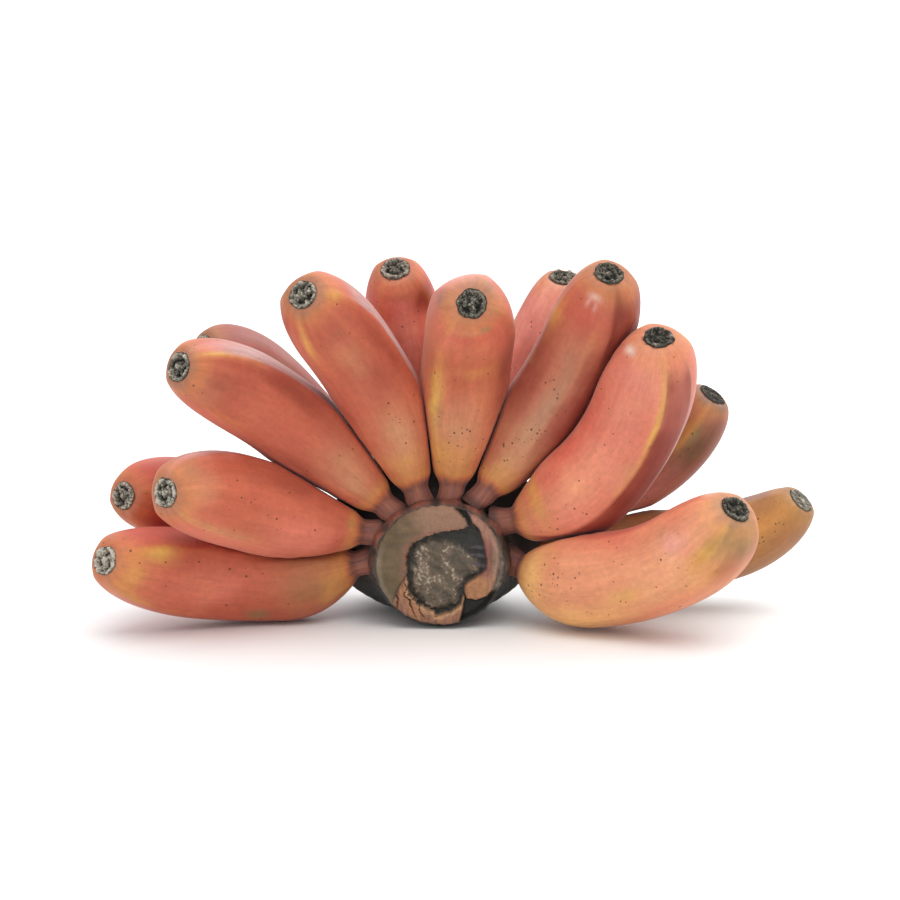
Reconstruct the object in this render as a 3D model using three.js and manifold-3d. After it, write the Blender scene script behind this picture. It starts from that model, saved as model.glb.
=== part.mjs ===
// A hand of red bananas, lying on its underside with the cut end of the main stalk facing forwards (-Y).
// Two rows of short, fat fingers are rooted round the top and sides of the stalk, fan out and curl forwards.
// Each finger is one solid with its own stem, and the stalk with the crown round it is one more.
import * as THREE from "three";
import Module from "manifold-3d";
import { mergeVertices } from "three/addons/utils/BufferGeometryUtils.js";

const wasm = await Module();
wasm.setup();

// Driving dimensions, in millimetres and degrees. The hand is laid out with X across it from the stalk's
// axis, Y backwards from the plane where the front row is rooted, and Z up from the surface that it lies on.
const AXIS_HEIGHT = 30.5;
const STALK_FRONT = -22;
const STALK_BACK = 56;
const GAP = 0.3;

// The stalk and the crown round it, as [depth, reach to the left, reach to the right, top above the axis,
// bottom below the axis]. The crown rises into a web between the two rows of stems.
const STALK_RINGS = [
  [STALK_FRONT, 29, 29, 27, 27.5],
  [-19, 31, 31, 29, 29.5],
  [-8, 32, 32, 28, 31.5],
  [2, 36, 34, 28, 31.5],
  [8, 41, 37, 36, 31.5],
  [13, 45, 39, 46, 31.5],
  [18, 47, 40, 40, 31.5],
  [28, 48, 40, 27, 31.5],
  [42, 42, 36, 24, 31],
  [STALK_BACK, 32, 28, 23, 28],
];
const STALK_SIDES = 40;

// The fibrous core of the cut stalk has dried and sunk below the rind round it.
const CORE = { across: 3, down: 5, halfWidth: 18, halfHeight: 19, depth: 4, taper: 3, sides: 18 };

// Directions are [turn, lean]: turn is anticlockwise from +X as seen from the front, lean is backwards.
// root is where a finger's stem leaves the crown and aim is the way it leaves, tip is the middle of the
// dried end and face is the way that looks, sweep is how strongly it holds to those two directions, and
// girth is the largest radius. ridges are the turns, round the finger, of the blunt edges between its flat
// sides. shoulder and dome are how long it takes to swell from the stem and to close at the tip.
const FINGERS = [
  { name: "finger_front_1", root: [-32, 0, 29], aim: [200, 4], sweep: [45, 52],
    tip: [-155, -45, 38], face: [157, -49], girth: 22.5, shoulder: 36, dome: 54,
    ridges: [45, 140, 213, 310] },
  { name: "finger_front_2", root: [-29, -2, 42], aim: [173, -8], sweep: [50, 45],
    tip: [-125, -60, 73], face: [170, -50], girth: 23, dome: 42,
    ridges: [60, 150, 236, 351] },
  { name: "finger_front_3", root: [-21, -2, 51], aim: [137, 6], sweep: [55, 50],
    tip: [-119, -50, 129.5], face: [158, -44], girth: 21.5, dome: 46,
    ridges: [55, 150, 238, 333] },
  { name: "finger_front_4", root: [-9, -2, 56], aim: [106, 10], sweep: [55, 50],
    tip: [-62, -52, 163], face: [127, -50], girth: 21.5,
    ridges: [55, 145, 232, 337] },
  { name: "finger_front_5", root: [5, -2, 57], aim: [84, 12], sweep: [55, 50],
    tip: [14.5, -56, 159.5], face: [90, -73], girth: 21.5,
    ridges: [72, 152, 232, 352] },
  { name: "finger_front_6", root: [17, -2, 56.5], aim: [50, 12], sweep: [48, 50],
    tip: [78, -30, 170], face: [80, -37], girth: 21.5,
    ridges: [25, 110, 207, 275, 338] },
  { name: "finger_front_7", root: [27, -3, 47.5], aim: [0, -12], sweep: [45, 55],
    tip: [100.5, -40, 141.5], face: [88, -35], girth: 24.2, shoulder: 42,
    ridges: [40, 125, 215, 303] },
  { name: "finger_front_8", root: [33, -1, 28.6], aim: [-26, -44], sweep: [37, 60],
    tip: [135, -64, 66], face: [62, -33], girth: 23.5, shoulder: 38,
    ridges: [40, 130, 225, 308] },
  { name: "finger_back_1", root: [-35, 24, 36], aim: [172, 20], sweep: [50, 50],
    tip: [-150, -5, 61], face: [167, -52], girth: 20.5,
    ridges: [30, 120, 210, 300] },
  { name: "finger_back_2", root: [-26, 24, 46], aim: [142, 20], sweep: [50, 50],
    tip: [-112, 0, 130.5], face: [160, -40], girth: 18.7,
    ridges: [40, 130, 230, 320] },
  { name: "finger_back_3", root: [-8, 24, 54], aim: [97, 25], sweep: [50, 50],
    tip: [-21, 5, 168], face: [97, -38], girth: 19.5,
    ridges: [40, 140, 235, 330] },
  { name: "finger_back_4", root: [10, 24, 54], aim: [70, 25], sweep: [50, 50],
    tip: [59, 20, 162], face: [83, -22], girth: 19.5,
    ridges: [40, 140, 240, 320] },
  { name: "finger_back_5", root: [28, 24, 46], aim: [6, 20], sweep: [45, 50],
    tip: [130.5, 20, 105.5], face: [58, -16], girth: 21, dome: 50,
    ridges: [10, 100, 190, 273] },
  { name: "finger_back_6", root: [36, 22, 34], aim: [-4, 5], sweep: [50, 55],
    tip: [173.5, 15, 55], face: [50, -21], girth: 20.5, dome: 55,
    ridges: [30, 120, 211, 300] },
];

// How a finger swells along its length.
const BURIED = 9;
const STEM_RADIUS = 6;
const FLARE = 6;
const STEM_LENGTH = 8;
const SHOULDER = 58;
const DOME = 38;
const TIP_RADIUS = 6.8;
const RIDGE_HEIGHT = 0.02;
const FLATNESS = 0.26;

// Share of the length at which each ring of a finger's skin lies.
const PLACES = [
  0, 0.07, 0.13, 0.16, 0.19, 0.23, 0.28, 0.35, 0.43, 0.52,
  0.61, 0.69, 0.76, 0.82, 0.875, 0.92, 0.955, 0.98, 0.995, 1,
];
const SIDES = 20;
const PRESS_GAP = 0.03;
const CORE_STEPS = 60;

const SKIN = new THREE.MeshStandardMaterial({ color: 0xcf6a4e, roughness: 0.45, metalness: 0 });
const STALK = new THREE.MeshStandardMaterial({ color: 0x6f5a48, roughness: 0.8, metalness: 0 });

const vector = (x, y, z) => new THREE.Vector3(x, y, z);

function direction([turn, lean]) {
  const t = THREE.MathUtils.degToRad(turn);
  const l = THREE.MathUtils.degToRad(lean);
  return vector(Math.cos(t) * Math.cos(l), Math.sin(l), Math.sin(t) * Math.cos(l));
}

function centreline({ root, aim, tip, face, sweep }) {
  const out = direction(aim);
  const start = vector(...root).addScaledVector(out, -BURIED);
  const end = vector(...tip);
  return new THREE.CubicBezierCurve3(
    start,
    start.clone().addScaledVector(out, BURIED + sweep[0]),
    end.clone().addScaledVector(direction(face), -sweep[1]),
    end,
  );
}

// The radius at a distance from the buried end: a stem that opens into the shoulder, and a dome at the tip.
function radiusAt(distance, length, { girth, shoulder = SHOULDER, dome = DOME }) {
  const past = THREE.MathUtils.clamp((distance - BURIED - STEM_LENGTH) / shoulder, 0, 1);
  const stem = STEM_RADIUS + FLARE * Math.max(0, 1 - distance / (BURIED + STEM_LENGTH)) ** 2;
  const swell = stem + (girth - stem) * (1 - (1 - past) ** 2.1) * Math.min(1, past * 12) ** 0.3;
  const left = THREE.MathUtils.clamp((length - distance) / dome, 0, 1);
  const close = TIP_RADIUS + (girth - TIP_RADIUS) * Math.sqrt(1 - (1 - left) ** 2);
  return (swell * close) / girth;
}

// How far out the skin of a finger of radius 1 is at a turn, with flat sides cut between its ridges.
function sectionAt(turn, ridges, flatness) {
  const past = (edge) => THREE.MathUtils.euclideanModulo(THREE.MathUtils.radToDeg(turn) - edge, 360);
  const before = Math.min(...ridges.map(past));
  const after = 360 - Math.max(...ridges.map(past));
  const half = THREE.MathUtils.degToRad((before + after) / 2);
  const side = Math.cos(half) / Math.cos(THREE.MathUtils.degToRad((before - after) / 2));
  return 1 + RIDGE_HEIGHT - flatness * (1 - side);
}

// Rings along a finger: where each is centred, its two cross axes, carried along without twist, its radius
// and how flat its sides are.
function ringsOf(finger) {
  const line = centreline(finger);
  const length = line.getLength();
  const side = vector(0, 1, 0).cross(direction(finger.aim));
  return PLACES.map((u) => {
    const along = line.getTangentAt(u);
    side.addScaledVector(along, -side.dot(along)).normalize();
    return {
      centre: line.getPointAt(u),
      side: side.clone(),
      back: vector(0, 0, 0).crossVectors(along, side),
      radius: radiusAt(u * length, length, finger),
      flatness: FLATNESS * THREE.MathUtils.smoothstep(u, 0.1, 0.6),
    };
  });
}

// Places along a finger and its radius there, close enough together to measure from.
function coreOf(finger) {
  const line = centreline(finger);
  const length = line.getLength();
  return line.getSpacedPoints(CORE_STEPS).map((centre, i) => {
    return { centre, radius: radiusAt((i / CORE_STEPS) * length, length, finger) };
  });
}

// How far out a point is from a finger's centreline, where 1 is on its skin.
function reach(point, core) {
  return Math.min(...core.map(({ centre, radius }) => point.distanceTo(centre) / radius));
}

// Fingers that press on each other are flattened: each gives way to the surface midway between them.
function pressed(centre, spoke, radius, neighbours) {
  const at = (share) => centre.clone().addScaledVector(spoke, radius * share);
  const free = (share) => neighbours.every((core) => share + PRESS_GAP < reach(at(share), core));
  if (free(1)) return at(1);
  let [low, high] = [0, 1];
  for (let i = 0; i < 10; i++) {
    const middle = (low + high) / 2;
    if (free(middle)) low = middle;
    else high = middle;
  }
  return at(low);
}

// A closed skin over rings of points: a lathe with every point of its rings moved to where place puts it.
function skinOver(ringCount, sides, place) {
  const profile = [vector(0, 0, 0)];
  for (let i = 0; i < ringCount; i++) profile.push(vector(1, i, 0));
  profile.push(vector(0, ringCount - 1, 0));
  const lathe = new THREE.LatheGeometry(profile, sides);
  const position = lathe.attributes.position;
  for (let v = 0; v < position.count; v++) {
    const row = v % profile.length;
    const ring = THREE.MathUtils.clamp(row - 1, 0, ringCount - 1);
    const open = row > 0 && row <= ringCount ? 1 : 0;
    const turn = (2 * Math.PI * (Math.floor(v / profile.length) % sides)) / sides;
    const { x, y, z } = place(ring, turn, open);
    position.setXYZ(v, x, y, z);
  }
  lathe.deleteAttribute("normal");
  lathe.deleteAttribute("uv");
  const merged = mergeVertices(lathe, 1e-3);
  return new wasm.Manifold(
    new wasm.Mesh({
      numProp: 3,
      vertProperties: merged.attributes.position.array,
      triVerts: new Uint32Array(merged.index.array),
    }),
  );
}

function fingerSolid(rings, ridges, neighbours) {
  return skinOver(rings.length, SIDES, (i, turn, open) => {
    const ring = rings[i];
    const section = sectionAt(turn, ridges, ring.flatness);
    const spoke = ring.side.clone().multiplyScalar(Math.cos(turn));
    spoke.addScaledVector(ring.back, Math.sin(turn));
    return pressed(ring.centre, spoke, open * ring.radius * section, neighbours);
  });
}

function coreSolid() {
  const { across, down, halfWidth, halfHeight, depth, taper, sides } = CORE;
  const levels = [-1, depth];
  return skinOver(levels.length, sides, (i, turn, open) => {
    const uneven = 1 + 0.06 * Math.sin(3 * turn) + 0.04 * Math.cos(5 * turn);
    const x = (halfWidth - i * taper) * uneven * Math.cos(turn);
    const z = (halfHeight - i * taper) * uneven * -Math.sin(turn);
    return vector(across + open * x, STALK_FRONT + levels[i], AXIS_HEIGHT - down + open * z);
  });
}

function stalkSolid(grow) {
  const last = STALK_RINGS.length - 1;
  const solid = skinOver(last + 1, STALK_SIDES, (i, turn, open) => {
    const [depth, left, right, top, bottom] = STALK_RINGS[i];
    const across = Math.cos(turn);
    const up = -Math.sin(turn);
    const ends = i === 0 ? -grow : i === last ? grow : 0;
    const height = AXIS_HEIGHT + open * up * ((up > 0 ? top : bottom) + grow);
    return vector(open * across * ((across > 0 ? right : left) + grow), depth + ends, height);
  });
  return solid.trimByPlane([0, 0, 1], -grow);
}

function geometryOf(solid) {
  const mesh = solid.getMesh();
  return new THREE.BufferGeometry()
    .setAttribute("position", new THREE.BufferAttribute(mesh.vertProperties, 3))
    .setIndex(new THREE.BufferAttribute(mesh.triVerts, 1));
}

const hand = new THREE.Group();

function add(name, solid, material) {
  const mesh = new THREE.Mesh(geometryOf(solid), material);
  mesh.name = name;
  hand.add(mesh);
}

add("stalk", stalkSolid(0).subtract(coreSolid()), STALK);

const cores = FINGERS.map(coreOf);
const clearOfStalk = stalkSolid(GAP);
FINGERS.forEach((finger, i) => {
  const neighbours = cores.filter((core, j) => j !== i);
  add(finger.name, fingerSolid(ringsOf(finger), finger.ridges, neighbours).subtract(clearOfStalk), SKIN);
});

// The row's origin is the middle of the hand's footprint.
const box = new THREE.Box3().setFromObject(hand);
const middle = box.getCenter(vector(0, 0, 0));
hand.position.set(-middle.x, -middle.y, -box.min.z);

export default hand;
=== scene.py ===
"""Looks for a hand of red bananas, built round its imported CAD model.

Every finger and the stalk get a fine mesh on the CAD's own centrelines and radii, with peel, dried tips,
torn rind and fibre modelled on top, and procedural materials driven by attributes that the meshes carry.
"""

import math

import bpy
import numpy as np
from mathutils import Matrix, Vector, noise


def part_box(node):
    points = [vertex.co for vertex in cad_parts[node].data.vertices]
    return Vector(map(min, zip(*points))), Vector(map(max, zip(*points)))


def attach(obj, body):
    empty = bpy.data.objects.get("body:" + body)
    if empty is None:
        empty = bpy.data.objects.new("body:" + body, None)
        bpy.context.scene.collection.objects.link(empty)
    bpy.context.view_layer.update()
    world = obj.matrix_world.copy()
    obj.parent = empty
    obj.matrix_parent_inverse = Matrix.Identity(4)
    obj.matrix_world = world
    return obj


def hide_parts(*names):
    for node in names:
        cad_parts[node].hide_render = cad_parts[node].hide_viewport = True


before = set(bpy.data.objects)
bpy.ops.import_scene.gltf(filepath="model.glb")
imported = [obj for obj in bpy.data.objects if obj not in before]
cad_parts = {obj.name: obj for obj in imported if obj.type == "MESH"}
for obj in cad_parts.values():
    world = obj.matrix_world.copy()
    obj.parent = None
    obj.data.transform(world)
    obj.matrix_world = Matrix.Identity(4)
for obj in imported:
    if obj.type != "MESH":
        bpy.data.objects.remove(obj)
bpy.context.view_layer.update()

# The dimensions of part.mjs, in millimetres and degrees: X and Z from the stalk's axis and the ground, Y from
# the plane where the front row is rooted.
AXIS_HEIGHT = 30.5
STALK_FRONT = -22
STALK_BACK = 56
# Y, then how far the stalk reaches to the left, the right, up and down.
STALK_RINGS = [
    (STALK_FRONT, 29, 29, 27, 27.5),
    (-19, 31, 31, 29, 29.5),
    (-8, 32, 32, 28, 31.5),
    (2, 36, 34, 28, 31.5),
    (8, 41, 37, 36, 31.5),
    (13, 45, 39, 46, 31.5),
    (18, 47, 40, 40, 31.5),
    (28, 48, 40, 27, 31.5),
    (42, 42, 36, 24, 31),
    (STALK_BACK, 32, 28, 23, 28),
]
BURIED, STEM_RADIUS, FLARE, STEM_LENGTH, SHOULDER, DOME, TIP_RADIUS = 9, 6, 6, 8, 58, 38, 6.8
RIDGE_HEIGHT, PRESS_GAP = 0.02, 0.03

# Only here: flatter sides between the ridges than the CAD's, the turn of a finger's skin that faces the
# viewer, and the web of the crown between the two rows of stems.
FLATNESS = 0.30
FACING_TURN = 277
WEB_AT, WEB_DEPTH, WEB_HEIGHT, WEB_CORNER_HEIGHT, WEB_CORNER_TURN = 13, 5, 11, 5, 0.78

# Linear colours of the peel.
BRICK = (0.52, 0.115, 0.062)
# A dark red, partly the peel's own colour and partly painted shade on sides turned from the light and between
# fingers.
DARK_RED_AND_SHADE = (0.27, 0.045, 0.028)
RED = (0.58, 0.100, 0.065)
CORAL = (0.70, 0.195, 0.125)
PINK = (0.72, 0.31, 0.27)
PEACH = (0.80, 0.35, 0.18)
TAN = (0.56, 0.26, 0.13)
OCHRE = (0.66, 0.31, 0.08)
YELLOW = (0.68, 0.38, 0.09)
BROWN = (0.34, 0.14, 0.055)
OLIVE = (0.24, 0.165, 0.065)
SLATE = (0.22, 0.12, 0.12)
SCUFF = (0.70, 0.58, 0.52)
# A pale lavender painted sheen: a reflection of the bright surroundings, laid on the sides that turn away
# from the viewer.
SHEEN_PAINT = (0.46, 0.29, 0.28)
# A deep red painted shade: sides turned from the light, fingers lying behind or under others, and creases.
SHADE_RED = (0.26, 0.045, 0.028)
GOLD = (0.86, 0.46, 0.17)
STEM = (0.32, 0.115, 0.075)
STEM_DARK = (0.10, 0.045, 0.036)


def finger(
    name, root, aim, sweep, tip, face, girth, ridges, paint, tip_shade, ash,
    base=BRICK, shoulder=SHOULDER, dome=DOME, worn=0, crease=None, facets=(), specks=(),
):
    """A finger's shape and marks. Places along it are shares of its length, and turns are in degrees.

    aim is the direction at the root, sweep how far the curve holds to its two end directions, and face the
    direction of the tip. base is the ground colour. tip_shade is how dark the skin gets at the blossom end.
    ash is how pale the dried blossom end is, and worn how far it has crumbled. crease is a fold's turn and
    depth.
    The lists hold
    paint: colour, strength, place, turn, half length and half width of soft patches;
    facets: colour, strength, first turn, last turn, first place and last place of sides with sharp edges;
    specks: density, place, turn, half length and half width of speckled areas.
    """
    return dict(
        name=name, root=root, aim=aim, sweep=sweep, tip=tip, face=face, girth=girth, ridges=ridges, base=base,
        paint=paint, tip_shade=tip_shade, ash=ash, shoulder=shoulder, dome=dome, worn=worn, crease=crease,
        facets=facets, specks=specks,
    )


FINGERS = [
    finger(
        "finger_front_1", root=(-32, 0, 29), aim=(200, 4), sweep=(45, 52), tip=(-155, -45, 38),
        face=(157, -49), girth=22.5, ridges=(45, 140, 213, 310), shoulder=36, dome=54,
        tip_shade=0.12, ash=0.95,
        paint=[
            (RED, 0.9, 0.75, 350, 0.30, 38), (CORAL, 0.5, 0.62, 262, 0.16, 30),
            (YELLOW, 0.95, 0.87, 303, 0.07, 12), (OCHRE, 0.6, 0.95, 250, 0.04, 60),
            (PINK, 0.6, 0.88, 195, 0.09, 14), (OCHRE, 0.6, 0.90, 216, 0.05, 9),
            (BROWN, 0.85, 0.27, 275, 0.13, 60), (OCHRE, 0.6, 0.20, 240, 0.04, 40),
            # The olive patch at turn 322 is painted shade where this finger meets finger_front_2; the one at
            # turn 222 is a mark on the peel.
            (OLIVE, 0.75, 0.42, 322, 0.10, 12), (OLIVE, 0.75, 0.45, 222, 0.04, 8),
        ],
        facets=[(RED, 0.5, 312, 400, 0.35, 0.93)],
        specks=[(0.35, 0.6, 300, 0.3, 20)],
    ),
    finger(
        "finger_front_2", root=(-29, -2, 42), aim=(173, -8), sweep=(50, 45), tip=(-125, -60, 73),
        face=(170, -50), girth=23, ridges=(60, 150, 236, 351), dome=42, tip_shade=0.2,
        ash=0.75,
        paint=[
            # The pale pink on the upper side near the tip is painted reflection.
            (PINK, 0.9, 0.86, 10, 0.13, 18), (TAN, 0.5, 0.93, 300, 0.06, 40),
            (OLIVE, 0.4, 0.95, 335, 0.03, 16), (TAN, 0.6, 0.80, 236, 0.18, 8),
            (CORAL, 0.7, 0.80, 212, 0.2, 16), (CORAL, 0.7, 0.42, 258, 0.17, 28),
            (DARK_RED_AND_SHADE, 0.5, 0.50, 330, 0.22, 20), (OLIVE, 0.4, 0.20, 300, 0.02, 10),
        ],
        facets=[(SHEEN_PAINT, 0.45, 353, 420, 0.72, 0.97), (CORAL, 0.5, 180, 234, 0.5, 0.95)],
        specks=[(0.9, 0.82, 305, 0.05, 9), (0.3, 0.4, 250, 0.2, 20)],
    ),
    finger(
        "finger_front_3", root=(-21, -2, 51), aim=(137, 6), sweep=(55, 50), tip=(-119, -50, 129.5),
        face=(158, -44), girth=21.5, ridges=(55, 150, 238, 333), dome=46, tip_shade=0.3,
        ash=0.45,
        paint=[
            # The pale pink over the top side is painted reflection, like the sheen beside it.
            (PINK, 0.7, 0.75, 356, 0.35, 20), (YELLOW, 0.8, 0.92, 334, 0.06, 6),
            (TAN, 0.35, 0.93, 268, 0.05, 36), (DARK_RED_AND_SHADE, 0.6, 0.68, 318, 0.20, 12),
            (DARK_RED_AND_SHADE, 0.6, 0.90, 285, 0.08, 26), (CORAL, 0.5, 0.75, 222, 0.2, 14),
            (TAN, 0.7, 0.28, 275, 0.13, 34), (DARK_RED_AND_SHADE, 0.5, 0.45, 235, 0.15, 14),
        ],
        facets=[(SHEEN_PAINT, 0.85, 335, 420, 0.35, 0.94), (CORAL, 0.5, 180, 236, 0.4, 0.93)],
        specks=[(0.3, 0.35, 280, 0.12, 25)],
    ),
    finger(
        "finger_front_4", root=(-9, -2, 56), aim=(106, 10), sweep=(55, 50), tip=(-62, -52, 163),
        face=(127, -50), girth=21.5, ridges=(55, 145, 232, 337), tip_shade=0.3, ash=0.45,
        paint=[
            (OCHRE, 0.7, 0.97, 335, 0.02, 12), (YELLOW, 0.7, 0.90, 232, 0.07, 7),
            (DARK_RED_AND_SHADE, 0.6, 0.72, 322, 0.16, 12), (TAN, 0.45, 0.74, 272, 0.12, 20),
            (CORAL, 0.6, 0.86, 212, 0.12, 15), (DARK_RED_AND_SHADE, 0.3, 0.90, 285, 0.06, 26),
            (TAN, 0.85, 0.30, 280, 0.16, 36), (OCHRE, 0.5, 0.22, 270, 0.05, 50),
            (DARK_RED_AND_SHADE, 0.4, 0.60, 290, 0.10, 20),
        ],
        facets=[(SHEEN_PAINT, 0.95, 339, 430, 0.38, 0.94), (CORAL, 0.5, 175, 230, 0.55, 0.93)],
        specks=[(0.8, 0.42, 288, 0.1, 22)],
    ),
    finger(
        "finger_front_5", root=(5, -2, 57), aim=(84, 12), sweep=(55, 50), tip=(14.5, -56, 159.5),
        face=(90, -73), girth=21.5, ridges=(72, 152, 232, 352), base=(0.57, 0.155, 0.078),
        tip_shade=0.15, ash=0.05,
        paint=[
            (CORAL, 0.7, 0.90, 232, 0.08, 28), (DARK_RED_AND_SHADE, 0.75, 0.62, 338, 0.24, 17),
            (RED, 0.5, 0.85, 330, 0.1, 22), (YELLOW, 0.95, 0.46, 232, 0.24, 9),
            (TAN, 0.8, 0.34, 275, 0.14, 42), (OCHRE, 0.65, 0.24, 255, 0.06, 50),
            (RED, 0.5, 0.93, 290, 0.04, 80), (SLATE, 0.6, 0.985, 80, 0.03, 60),
            (OLIVE, 0.9, 0.958, 305, 0.012, 12), (TAN, 0.35, 0.955, 265, 0.02, 40),
            (OCHRE, 0.35, 0.66, 290, 0.04, 30), (PINK, 0.6, 0.93, 120, 0.08, 60),
            (SLATE, 0.6, 0.95, 175, 0.03, 16),
        ],
        facets=[(SHEEN_PAINT, 0.8, 356, 420, 0.3, 0.9), (SHEEN_PAINT, 0.6, 130, 186, 0.3, 0.9)],
        specks=[(1.0, 0.38, 280, 0.13, 34), (0.8, 0.27, 262, 0.05, 30), (0.5, 0.6, 250, 0.05, 20)],
    ),
    finger(
        "finger_front_6", root=(17, -2, 56.5), aim=(50, 12), sweep=(48, 50), tip=(78, -30, 170),
        face=(80, -37), girth=21.5, ridges=(25, 110, 207, 275, 338), base=(0.48, 0.135, 0.075),
        tip_shade=0.15, ash=0, crease=(306, 1.6),
        paint=[
            # The deep reds at the left, where finger_front_5 shades this finger, and by the crease at the
            # right are painted shade.
            (SHADE_RED, 0.75, 0.54, 216, 0.22, 24), ((0.45, 0.215, 0.125), 0.95, 0.48, 262, 0.26, 17),
            (OCHRE, 0.9, 0.83, 212, 0.07, 11), (SHADE_RED, 0.85, 0.52, 308, 0.3, 20),
            (DARK_RED_AND_SHADE, 0.5, 0.88, 262, 0.07, 24), (SCUFF, 0.7, 0.968, 258, 0.010, 12),
            (SCUFF, 0.5, 0.945, 250, 0.018, 4), (SCUFF, 0.5, 0.94, 264, 0.016, 3),
            (RED, 0.5, 0.90, 250, 0.08, 60), (BRICK, 0.8, 0.88, 330, 0.12, 18),
            (SHADE_RED, 0.95, 0.86, 305, 0.11, 9), (SHADE_RED, 0.9, 0.93, 312, 0.04, 12),
            (TAN, 0.9, 0.27, 262, 0.10, 40), (OCHRE, 0.5, 0.20, 262, 0.04, 40),
        ],
        facets=[
            # Painted sheen along the left edge and painted shade on the right.
            (SHEEN_PAINT, 0.95, 130, 188, 0.25, 0.9), (SHADE_RED, 0.45, 277, 336, 0.3, 0.80),
            (SHADE_RED, 0.8, 308, 400, 0.76, 0.97),
        ],
        specks=[(0.9, 0.45, 266, 0.16, 22), (0.7, 0.30, 262, 0.08, 30)],
    ),
    finger(
        "finger_front_7", root=(27, -3, 47.5), aim=(0, -12), sweep=(45, 55), tip=(100.5, -40, 141.5),
        face=(88, -35), girth=24.2, ridges=(40, 125, 215, 303), shoulder=42, base=(0.66, 0.195, 0.125),
        tip_shade=0.1, ash=-0.2,
        paint=[
            (RED, 0.75, 0.52, 222, 0.3, 22), (YELLOW, 1.0, 0.76, 301.5, 0.22, 3.8),
            (OCHRE, 0.8, 0.235, 235, 0.035, 60), (PINK, 0.15, 0.93, 262, 0.06, 30),
            (SCUFF, 0.8, 0.975, 222, 0.012, 15), (PEACH, 0.4, 0.40, 262, 0.12, 22),
            (TAN, 0.5, 0.56, 296, 0.05, 9), (BROWN, 0.9, 0.675, 304, 0.009, 2.6),
            (BROWN, 0.9, 0.69, 309, 0.008, 2.4), (BROWN, 0.6, 0.70, 316, 0.004, 9),
            (BROWN, 0.7, 0.945, 312, 0.012, 3),
        ],
        facets=[
            # Painted shade on the side right of the yellow ridge, and painted sheen past it towards the
            # outline.
            (DARK_RED_AND_SHADE, 0.85, 304, 352, 0.15, 0.95), (SHADE_RED, 0.95, 303, 352, 0.22, 0.74),
            (SHEEN_PAINT, 0.95, 354, 420, 0.2, 0.85),
        ],
        specks=[(0.35, 0.4, 280, 0.2, 30)],
    ),
    finger(
        "finger_front_8", root=(33, -1, 28.6), aim=(-26, -44), sweep=(37, 60), tip=(135, -64, 66),
        face=(62, -33), girth=23.5, ridges=(40, 130, 225, 308), shoulder=38, base=(0.70, 0.27, 0.145),
        tip_shade=0.3, ash=-0.15,
        paint=[
            (CORAL, 0.6, 0.55, 232, 0.28, 22), (RED, 0.9, 0.68, 198, 0.28, 30),
            (GOLD, 0.9, 0.36, 335, 0.24, 32), (GOLD, 1.0, 0.21, 275, 0.06, 60),
            (CORAL, 0.6, 0.62, 345, 0.14, 20), (PINK, 0.6, 0.82, 268, 0.06, 16),
            (OCHRE, 0.95, 0.91, 306, 0.08, 12), (OLIVE, 0.95, 0.945, 340, 0.055, 38),
            (DARK_RED_AND_SHADE, 0.6, 0.86, 345, 0.07, 16), (YELLOW, 0.6, 0.55, 300, 0.05, 9),
            (OCHRE, 0.5, 0.82, 330, 0.12, 18), (SCUFF, 0.7, 0.965, 195, 0.016, 16),
            (PEACH, 0.4, 0.45, 262, 0.18, 28),
        ],
        facets=[(RED, 0.5, 150, 222, 0.35, 0.97)],
        specks=[
            (1.0, 0.27, 292, 0.09, 22), (1.0, 0.42, 300, 0.12, 12), (0.9, 0.25, 250, 0.05, 12),
            (0.8, 0.8, 300, 0.03, 10),
        ],
    ),
    finger(
        "finger_back_1", root=(-35, 24, 36), aim=(172, 20), sweep=(50, 50), tip=(-150, -5, 61),
        face=(167, -52), girth=20.5, ridges=(30, 120, 210, 300), tip_shade=0.15, ash=0.6,
        paint=[
            # The dark and deep reds here are partly painted shade, where this finger lies behind
            # finger_front_2.
            ((0.48, 0.055, 0.040), 1.0, 0.85, 285, 0.45, 95), (SHADE_RED, 0.8, 0.88, 295, 0.09, 34),
            (DARK_RED_AND_SHADE, 0.9, 0.70, 285, 0.16, 34), (PINK, 0.7, 0.8, 212, 0.15, 14),
            (TAN, 0.6, 0.28, 270, 0.1, 80),
        ],
    ),
    finger(
        "finger_back_2", root=(-26, 24, 46), aim=(142, 20), sweep=(50, 50), tip=(-112, 0, 130.5),
        face=(160, -40), girth=18.7, ridges=(40, 130, 230, 320), base=(0.34, 0.10, 0.075),
        tip_shade=0.2, ash=0.6,
        paint=[(SHEEN_PAINT, 0.3, 0.8, 350, 0.2, 16), (TAN, 0.7, 0.28, 270, 0.1, 80)],
    ),
    finger(
        "finger_back_3", root=(-8, 24, 54), aim=(97, 25), sweep=(50, 50), tip=(-21, 5, 168),
        face=(97, -38), girth=19.5, ridges=(40, 140, 235, 330), base=RED, tip_shade=0.2, ash=0.35,
        paint=[
            # The bright coral patch is painted light, making up for the shade the front fingers cast here;
            # the deep reds by the tip are painted shade.
            ((0.92, 0.36, 0.27), 1.0, 0.66, 285, 0.30, 70), (SHADE_RED, 1.0, 0.92, 322, 0.06, 34),
            (SHADE_RED, 0.5, 0.95, 270, 0.02, 40), (TAN, 0.7, 0.28, 270, 0.1, 80),
        ],
        specks=[(0.9, 0.93, 300, 0.03, 14)],
    ),
    finger(
        "finger_back_4", root=(10, 24, 54), aim=(70, 25), sweep=(50, 50), tip=(59, 20, 162),
        face=(83, -22), girth=19.5, ridges=(40, 140, 240, 320), tip_shade=0.15, ash=0.25,
        paint=[
            # The bright pink patch over the middle of this finger is painted light.
            ((0.95, 0.42, 0.34), 1.0, 0.75, 275, 0.50, 75), (OCHRE, 0.8, 0.88, 300, 0.09, 12),
            (PINK, 0.5, 0.7, 250, 0.2, 25), (TAN, 0.7, 0.28, 270, 0.1, 80),
        ],
    ),
    finger(
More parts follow.
